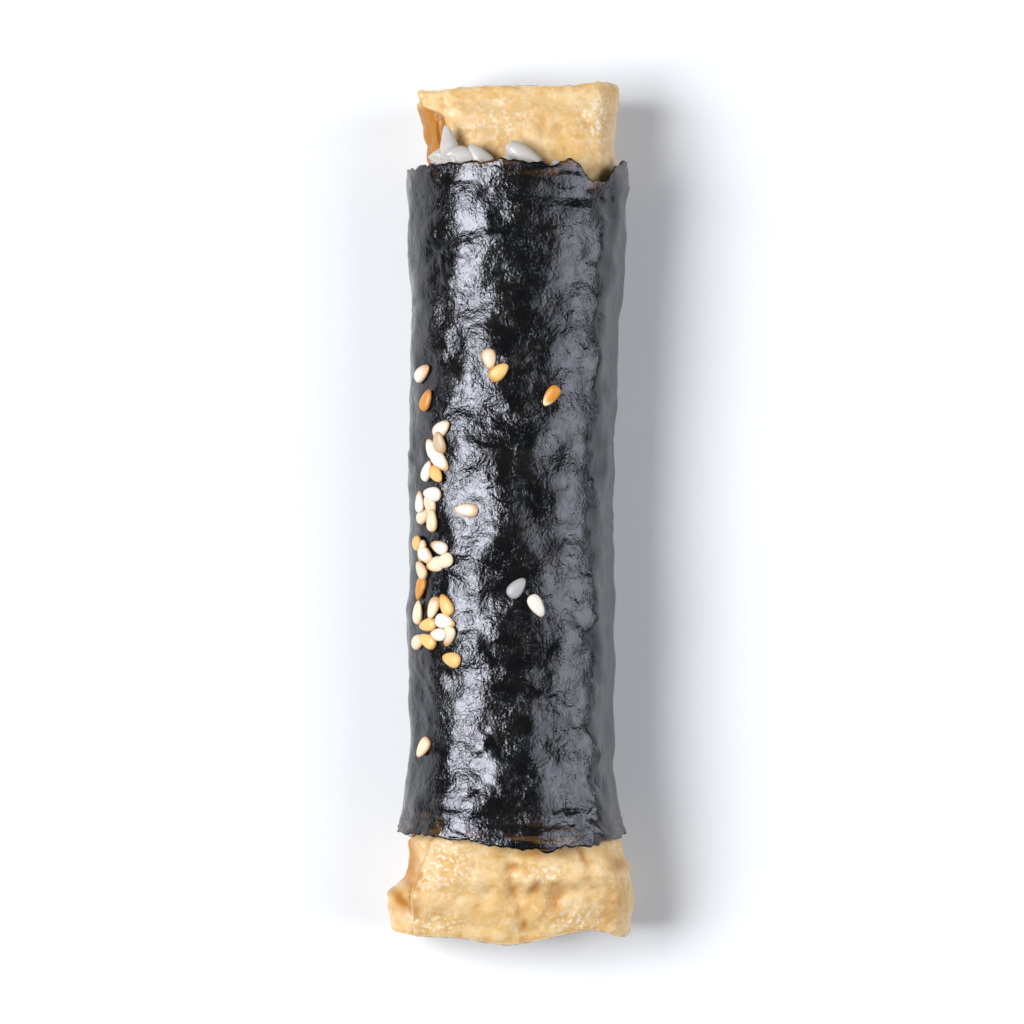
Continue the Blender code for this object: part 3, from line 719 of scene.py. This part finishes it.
def sheetCrust(points):
    # pillows, blisters and pits of the fried skin
    x, y, z = points.T
    pillows = 0.55 * np.abs(cloud(x / 3.4 + 4, y / 3.0, z / 3.4)) - 0.12
    waves = 0.14 * cloud(x / 1.7 + 9, y / 1.7, z / 1.7)
    blisters = 0.3 * np.maximum(cloud(x / 1.3, y / 1.3 + 7, z / 1.3) - 0.05, 0) ** 1.3
    pits = 0.16 * np.maximum(cloud(x / 0.9 + 3, y / 0.9, z / 0.9) - 0.12, 0)
    return (pillows + waves + blisters - pits - sheetMarks(points)[0]) * blend(44, 47, np.abs(y))


def sheetWave(points):
    # the ends are cut in waves, and the lower turns a little shorter
    x, y, z = points.T
    lower = 0.5 * blend(14, 8, z)
    half = fishCake["halfLength"]
    top = 0.9 * blend(6, 13.5, x) - 0.7 * blend(-4, -12, x) - lower
    bottom = 0.2 - 1.2 * hill(x, -1, 5) + 0.8 * hill(x, 10.5, 3.5) - 0.5 * hill(x, 16, 2.5) + lower
    return np.where(y > 0, top, bottom) * blend(47, half, np.abs(y))


def sheetAngles(y):
    # round the roll from the inner edge to the free edge, closer together on the outer turn
    last = freeEdge(y)
    first = last - math.tau
    tailColumns, turnColumns = int(fishCake["tailColumns"] * fine), int(fishCake["turnColumns"] * fine)
    tail = first - fishCake["tail"] * (1 - np.arange(tailColumns) / tailColumns)
    return np.r_[tail, np.linspace(first, last, turnColumns + 1)]


def sheetRing(y, cutIn):
    # one closed ring round the sheet, out side, free edge, in side and inner edge, with how much each point
    # is cut, how brown it is with painted shade added, and how glossy
    angle = sheetAngles(y)
    line, outwards = sheetLine(angle, y), sheetNormal(angle, y)
    half = fishCake["thickness"] / 2 - cutIn
    sides = []
    for offset, weight in ((half, 1.0), (-half, 0.6)):
        side = line + outwards * offset
        raised = weight * sheetRelief(side) + math.copysign(1, offset) * sheetCrust(side)
        side = side + outwards * raised[:, None]
        side[:, 1] += sheetWave(side)
        sides.append(side)
    outSide, inSide = sides
    edge = []
    for end, before in ((-1, -2), (0, 1)):
        first, second = outSide[end], inSide[end]
        towards = unit(line[end] - line[before])
        for share in (0.2, 0.5, 0.8):
            bulge = fishCake["edgeBulge"] * math.sin(math.pi * share) * (1 if end else 0.6)
            edge.append(first + (second - first) * share + towards * bulge)
    freeFace, innerFace = edge[:3], edge[3:]
    ring = np.concatenate((outSide, freeFace, inSide[::-1], innerFace[::-1]))
    count = len(angle)
    tones = np.zeros((len(ring), 3))
    cut, brownAndShade, gloss = tones.T
    cut[count:count + 3] = 1
    cut[-3:] = 1
    fromEdge = (angle[-1] - angle) % math.tau  # round the roll, back from the free edge or from below it
    below = angle < angle[-1] - math.tau + 0.3
    # painted shade: darker colour along the seam under the free edge and on the free edge's cut face
    seamShade = np.where(below, hill(turned(fromEdge + 0.02), 0, 0.16), 0.4 * hill(angle, angle[-1], 0.05))
    seamShade = seamShade * (0.8 + 0.6 * float(cloud(y / 2.5, 3.0, 1.0)))
    seamShade = seamShade * (0.3 + 0.7 * float(blend(-57.5, -54.5, y)) if y < 0 else 0.6)
    # painted shade: darker, warmer colour in the dips of the crust
    dipShade = 0.3 * blend(0.02, -0.25, sheetCrust(outSide))
    brownAndShade[:count] = np.maximum.reduce((sheetMarks(outSide)[1], sheetHollowShade(outSide), seamShade, dipShade))
    brownAndShade[count:count + 3] = 0.8 * seamShade[-1]
    brownAndShade[count + 3:-3] = sheetHollowShade(inSide[::-1])
    gloss[:count] = sheetGloss(outSide)
    return ring, tones, count


def sheetHollowShade(points):
    # painted shade: 1 inside the deep hollow at the top end's upper left, where the sheet is darkened as if
    # shadowed
    x, y, z = points.T
    across, along = blend(-15, -13, x) * blend(-8.4, -10, x), blend(48, 50, y) * blend(58.6, 56.8, y)
    return 0.95 * across * along * blend(17, 15.6, z) * blend(5, 8, z)


def makeFishCake(material):
    half, reach = fishCake["halfLength"], fishCake["endReach"]
    endRows = int(fishCake["endRows"] * fine)
    near = np.r_[0, 0.12, 0.3, np.linspace(0.6, reach, endRows)]
    middle = np.linspace(-half + reach, half - reach, fishCake["middleRows"] + 2)[1:-1]
    rings, tones = [], []
    for y in np.r_[-half + near, middle, half - near[::-1]]:
        rounding = fishCake["rounding"] * float(blend(0.45, 0.0, half - abs(y)))
        ring, ringTones, count = sheetRing(float(y), rounding)
        rings.append(ring)
        tones.append(ringTones)
    size = len(rings[0])
    faces = [quad[::-1] for quad in gridFaces(len(rings), size, True)]
    points, tones = list(np.concatenate(rings)), list(np.concatenate(tones))
    # cut ends: a ladder of faces between the two sides, with a crumbly surface
    for ringStart, outward in ((0, -1), ((len(rings) - 1) * size, 1)):
        rowsOfCorners = [[ringStart + i for i in range(count)]]
        outSide = np.array(points[ringStart:ringStart + count])
        inSide = np.array(points[ringStart + count + 3:ringStart + 2 * count + 3])[::-1]
        for row in range(1, fishCake["cutRows"] + 1):
            share = row / (fishCake["cutRows"] + 1)
            line = outSide + (inSide - outSide) * share
            crumb = 0.35 * cloud(line[:, 0] / 0.9, line[:, 2] / 0.9, float(outward)) + 0.12
            line[:, 1] += outward * crumb * math.sin(math.pi * share)
            rowsOfCorners.append([len(points) + i for i in range(count)])
            points += list(line)
            tones += [(1.0, 0.0, 0.0)] * count
        rowsOfCorners.append([ringStart + 2 * count + 2 - i for i in range(count)])
        for upper, lower in zip(rowsOfCorners, rowsOfCorners[1:]):
            for i in range(count - 1):
                quad = [upper[i], upper[i + 1], lower[i + 1], lower[i]]
                faces.append(quad if outward > 0 else quad[::-1])
        corners = [row[-1] for row in rowsOfCorners]
        freeFace = [ringStart + count + k for k in range(3)]
        faces.append((corners + freeFace[::-1]) if outward < 0 else (corners + freeFace[::-1])[::-1])
        corners = [row[0] for row in rowsOfCorners]
        innerFace = [ringStart + size - 1 - k for k in range(3)]
        faces.append((corners + innerFace[::-1]) if outward > 0 else (corners + innerFace[::-1])[::-1])
    cut, brownAndShade, gloss = np.array(tones).T
    cake = newPiece("fishCakeSheet", points, faces, material,
                    {"cut": cut, "brownAndShade": brownAndShade, "gloss": gloss})
    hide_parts("fish_cake")


def fishCakeFinish():
    f = Finish("friedFishCake", IOR=1.45, Specular_IOR_Level=0.36, Subsurface_Weight=0.04,
               Subsurface_Scale=0.8 * mm, Subsurface_Radius=(1.0, 0.7, 0.4))
    deep = f.spots(4.0, detail=4, rough=0.6).between(0.38, 0.62)
    skin = f.mix(deep, fishCake["golden"], fishCake["deepGolden"])
    tanned = f.spots(1.7, detail=4, rough=0.6).between(0.52, 0.72)
    skin = f.mix(tanned * 0.6, skin, fishCake["tanned"])
    blisters = f.spots(0.9, detail=3, rough=0.55)
    skin = f.mix(blisters.between(0.5, 0.68) * 0.5, skin, fishCake["blister"])
    flecks = f.spots(0.62, detail=2, rough=0.45)
    # pale flecks in the glossy patches: partly real pale blisters, partly painted highlight
    glossAndPaintedHighlight = f.tone("gloss") * flecks.between(0.545, 0.6)
    skin = f.mix(glossAndPaintedHighlight * 0.8, skin, fishCake["paleFleckAndHighlight"])
    crumb = f.mix(f.spots(0.8, detail=3).between(0.4, 0.65), fishCake["crumb"], fishCake["deepCrumb"])
    # the brown tone carries browned marks and painted shade in the seam, the hollow, the dips and along the
    # wrap's edge
    colour = f.mix(f.tone("brownAndShade"), f.mix(f.tone("cut"), skin, crumb), fishCake["brownAndShade"])
    oily = f.spots(2.2, detail=3, rough=0.6).between(0.42, 0.6)
    pores = f.bump(blisters, 0.12)
    pores = f.bump(flecks, 0.05, normal=pores)
    return f.feed(Base_Color=colour, Roughness=0.43 - 0.15 * oily - 0.15 * glossAndPaintedHighlight, Normal=pores)


# rice

rice = {
    "top": 44.8, "bottom": -41.4, "room": 0.65, "edgeRoom": math.radians(6),
    "grain": (6.6, 3.0, 2.5), "sides": 22, "rings": 13, "grainInset": 0.75,
    "topGrains": 14, "bottomGrains": 12, "extraGrains": 44, "ringInset": 1.1,
    "topArc": (64, 316), "bottomArc": (60, 316), "extraArc": (60, 318), "coreArc": (40, 322),  # in degrees
    "coreInset": 0.95, "coreRoom": 0.45, "coreColumns": 60, "coreRows": 40, "coreBumps": 0.5,
    "white": (0.50, 0.475, 0.445), "creamy": (0.44, 0.405, 0.37),
    # grains that lie on the fish cake at the top end: place across and along, direction from +x in degrees
    # and how pointed they are
    "shown": (
        (-9.3, 50.4, 100, 0.5), (-11.2, 48.4, 52, 0.3), (-7.0, 49.2, -10, 0.2), (-4.6, 48.2, 128, 0.3),
        (-2.4, 46.6, 60, 0.1), (1.2, 49.1, -35, 0.2), (3.0, 46.2, 105, 0.1),
    ),
}


def sheetOutline(y, margin, count):
    # the outer turn of the sheet, a margin away from it
    last = freeEdge(y) + rice["edgeRoom"]
    first = last - math.tau * 0.97
    angle = first + (last - first) * np.arange(count) / (count - 1)
    close = 1.4 * blend(0.75, 0.95, np.cos(angle))
    away = fishCake["thickness"] / 2 + margin + close
    return sheetLine(angle, y) + sheetNormal(angle, y) * away[:, None]


def endGrain(draw, angle, top, deeper=0.0):
    # a grain at one end, between the sheet and the wrap
    face, out = (rice["top"], 1) if top else (rice["bottom"], -1)
    y = face + out * (draw.uniform(0.0, 1.4) - deeper)
    outside = wrapPoint(angle, y, -rice["ringInset"])
    ring = sheetOutline(y, rice["room"], 60)
    inside = ring[np.argmin(np.linalg.norm(ring - outside, axis=1))]
    radial = unit(outside - inside)
    roundRoll = np.cross(radial, (0, 1, 0))
    lean = draw.uniform(-1.2, 1.2)
    along = np.array((0, out, 0)) * math.cos(lean) + roundRoll * math.sin(lean)
    along = along + radial * draw.uniform(-0.15, 0.15)
    here = outside + (inside - outside) * draw.uniform(0.35, 0.65)
    return here, along, radial, draw.uniform(0.85, 1.05)


def riceSpots():
    # a ring of grains at both ends, those that lie on the fish cake, and more behind the rings
    draw, more = random.Random(5), random.Random(8)
    spots = []
    ends = ((True, rice["topGrains"], *rice["topArc"]), (False, rice["bottomGrains"], *rice["bottomArc"]))
    for top, count, first, last in ends:
        for i in range(count):
            angle = math.radians(first + (last - first) * (i + draw.uniform(-0.3, 0.3)) / (count - 1))
            spots.append((*endGrain(draw, angle, top), 0.08))
    for x, y, degrees, taper in rice["shown"]:
        ring = sheetOutline(y, rice["room"], 60)
        ring = ring[ring[:, 2] > 12]
        below = ring[np.argmin(np.abs(ring[:, 0] - x))]
        here = np.array((x, y, below[2] + 0.4 * rice["grain"][2]))
        direction = math.radians(degrees)
        along = np.array((math.cos(direction), math.sin(direction), 0.0))
        spots.append((here, along, np.array((0, 0, 1.0)), 1.0, taper))
    for i in range(rice["extraGrains"]):
        top = i % 2 == 0
        angle = math.radians(more.uniform(*rice["extraArc"]))
        spots.append((*endGrain(more, angle, top, deeper=1.3), 0.08))
    return spots


def keepInWrap(points, margin):
    # pulls points that would pass through the wrap back inside it
    x, y, z = points.T
    halfHeight = (seaweed["height"] + seaweed["flatDepth"]) / 2
    centre = seaweed["height"] - halfHeight
    up = np.maximum(0, np.sign(z - centre))
    wide = wrapHalfWidth(y) - margin
    high = halfHeight + wrapSwell(y) * up - margin
    power = seaweed["squareness"]
    aside, above = np.abs((x - wrapShift(y)) / wide), np.abs((z - centre) / high)
    reach = (aside ** power + above ** power) ** (1 / power)
    angle = np.arctan2(z - centre, x)
    inside = (y > wrapEnd(angle, False) - 1) & (y < wrapEnd(angle, True) + 1)
    shrink = np.where((reach > 1) & inside, 1 / np.maximum(reach, 1), 1.0)
    moved = points.copy()
    moved[:, 0] = wrapShift(y) + (x - wrapShift(y)) * shrink
    moved[:, 2] = np.maximum(centre + (z - centre) * shrink, margin * inside)
    return moved


def makeRice(material):
    look = random.Random(2)
    parts, shades = [], []
    for here, along, radial, scale, taper in riceSpots():
        normal = unit(np.cross(np.cross(unit(along), radial), along))
        size = np.array(rice["grain"]) * scale * (1, look.uniform(0.92, 1.04), look.uniform(0.92, 1.04))
        points, faces, end = kernel(here, along, normal, size, rice["sides"], rice["rings"], taper,
                                    look.uniform(-0.03, 0.05))
        swell = 1 + 0.05 * cloud(points[:, 0] / 1.5, points[:, 1] / 1.5, points[:, 2] / 1.5)
        points = here + (points - here) * swell[:, None]
        points = keepInWrap(points, rice["grainInset"])
        parts.append((points, faces))
        shades.append(np.full(len(points), look.uniform(0.0, 1.0)))
    points, faces = joined(parts)
    grains = newPiece("riceGrains", points, faces, material, {"chalk": np.concatenate(shades)})
    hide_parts("rice")


def makeRiceCore(material):
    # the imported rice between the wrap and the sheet, a C in section, open where the sheet meets the wrap
    columns, rows = rice["coreColumns"], rice["coreRows"]
    angles = np.linspace(*np.radians(rice["coreArc"]), columns)
    rings = []
    for y in np.linspace(rice["bottom"] + 0.3, rice["top"] - 0.3, rows):
        outside = wrapPoint(angles, y, -rice["coreInset"])
        outside[:, 2] = np.maximum(outside[:, 2], rice["coreInset"])
        outline = sheetOutline(y, rice["coreRoom"], 120)
        wide, tall, shift, axis = sheetFrame(y)[:4]
        centre = np.array((shift, y, axis))
        aim, toOutline = unit(outside - centre), unit(outline - centre)
        inside = outline[np.argmax(aim @ toOutline.T, axis=1)]
        reachOut = np.linalg.norm(outside - centre, axis=1)
        reachIn = np.minimum(np.linalg.norm(inside - centre, axis=1), reachOut - 0.15)
        inside = centre + aim * reachIn[:, None]
        bumps = rice["coreBumps"] * cloud(outside[:, 0] / 2.2, y / 2.2, outside[:, 2] / 2.2)
        nearEnd = float(blend(4, 0, min(abs(y - rice["bottom"]), abs(y - rice["top"]))))
        ring = np.concatenate((outside, inside[::-1]))
        rings.append(ring + np.array((0, 1, 0)) * nearEnd * np.r_[bumps, bumps][:, None])
    size = 2 * columns
    faces = [quad[::-1] for quad in gridFaces(rows, size, True)]
    for start, outward in ((0, -1), ((rows - 1) * size, 1)):
        for i in range(columns - 1):
            quad = [start + i, start + i + 1, start + size - 2 - i, start + size - 1 - i]
            faces.append(quad if outward < 0 else quad[::-1])
    chalk = np.full(rows * size, 0.5)
    core = newPiece("riceCore", np.concatenate(rings), faces, material, {"chalk": chalk})
    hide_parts("rice")


def riceFinish():
    f = Finish("cookedRice", IOR=1.4, Subsurface_Weight=0.25, Subsurface_Scale=1.2 * mm,
               Subsurface_Radius=(1.0, 0.9, 0.8))
    milky = f.spots(2.4, detail=2).between(0.35, 0.7)
    colour = f.mix(milky * 0.6 + 0.4 * f.tone("chalk"), rice["white"], rice["creamy"])
    skin = f.bump(f.spots(0.5, detail=2), 0.05)
    return f.feed(Base_Color=colour, Roughness=0.24 + 0.12 * milky, Normal=skin)


# table, light and camera

studio = {
    "floorSize": 5.0, "floorColour": (0.76, 0.77, 0.79),
    "worldColour": (0.80, 0.88, 1.0), "worldStrength": 0.07,
    # each light: angle from overhead towards +x in degrees, distance, size across, size along y, strength
    # and colour
    "lights": {
        "leftWindow": (-40, 0.60, 0.35, 0.36, 10.0, (0.97, 0.98, 1.0)),
        "leftCore": (-38, 0.55, 0.18, 0.24, 9.0, (0.98, 0.99, 1.0)),
        "rightWindow": (50.5, 0.62, 0.62, 0.42, 2.9, (0.93, 0.95, 1.0)),
        "rightCore": (52, 0.58, 0.20, 0.36, 2.2, (0.95, 0.96, 1.0)),
    },
    "lens": 180, "distance": 0.72, "elevation": 87.5, "aside": -4,
}


def makeFloor():
    size = studio["floorSize"] / 2
    mesh = bpy.data.meshes.new("table")
    corners = [(-size, -size, 0), (size, -size, 0), (size, size, 0), (-size, size, 0)]
    mesh.from_pydata(corners, [], [(0, 1, 2, 3)])
    table = bpy.data.objects.new("table", mesh)
    table.location.z = cadLow.z - 0.1 * mm
    bpy.context.scene.collection.objects.link(table)
    f = Finish("paleTable", Roughness=0.5)
    cloudy = f.spots(60, detail=2)
    paper = studio["floorColour"]
    mesh.materials.append(f.feed(Base_Color=f.mix(cloudy, paper, tuple(0.97 * c for c in paper))))


def makeLight(name, degrees, distance, across, along, strength, colour):
    lamp = bpy.data.lights.new(name, "AREA")
    lamp.shape, lamp.size, lamp.size_y = "RECTANGLE", across, along
    lamp.energy = strength * math.pi * across * along  # strength is the panel's brightness
    lamp.color = colour
    light = bpy.data.objects.new(name, lamp)
    angle = math.radians(degrees)
    light.location = Vector((math.sin(angle), 0, math.cos(angle))) * distance
    light.rotation_euler = (0, angle, 0)
    bpy.context.scene.collection.objects.link(light)


def makeWorld():
    world = bpy.data.worlds.new("softRoom")
    world.use_nodes = True
    back = world.node_tree.nodes["Background"]
    back.inputs["Color"].default_value = (*studio["worldColour"], 1)
    back.inputs["Strength"].default_value = studio["worldStrength"]
    bpy.context.scene.world = world


def makeCamera():
    camera = bpy.data.objects.new("camera", bpy.data.cameras.new("camera"))
    camera.data.lens = studio["lens"]
    aim = (cadLow + cadHigh) / 2
    up, aside = math.radians(studio["elevation"]), math.radians(studio["aside"])
    back = Vector((math.sin(aside), -math.cos(up), math.sin(up))).normalized()
    camera.location = aim + back * studio["distance"]
    right = Vector((0, 1, 0)).cross(back).normalized()  # keeps the roll upright in the view
    camera.rotation_mode = "QUATERNION"
    camera.rotation_quaternion = Matrix((right, back.cross(right), back)).transposed().to_quaternion()
    bpy.context.scene.collection.objects.link(camera)
    bpy.context.scene.camera = camera


makeSeaweed(seaweedFinish())
makeSesame(sesameFinish())
makeFishCake(fishCakeFinish())
riceLook = riceFinish()
makeRiceCore(riceLook)
makeRice(riceLook)
makeFloor()
for lightName, settings in studio["lights"].items():
    makeLight(lightName, *settings)
makeWorld()
makeCamera()
print("made the table, lights and camera")
bpy.context.scene.view_settings.view_transform = "Standard"
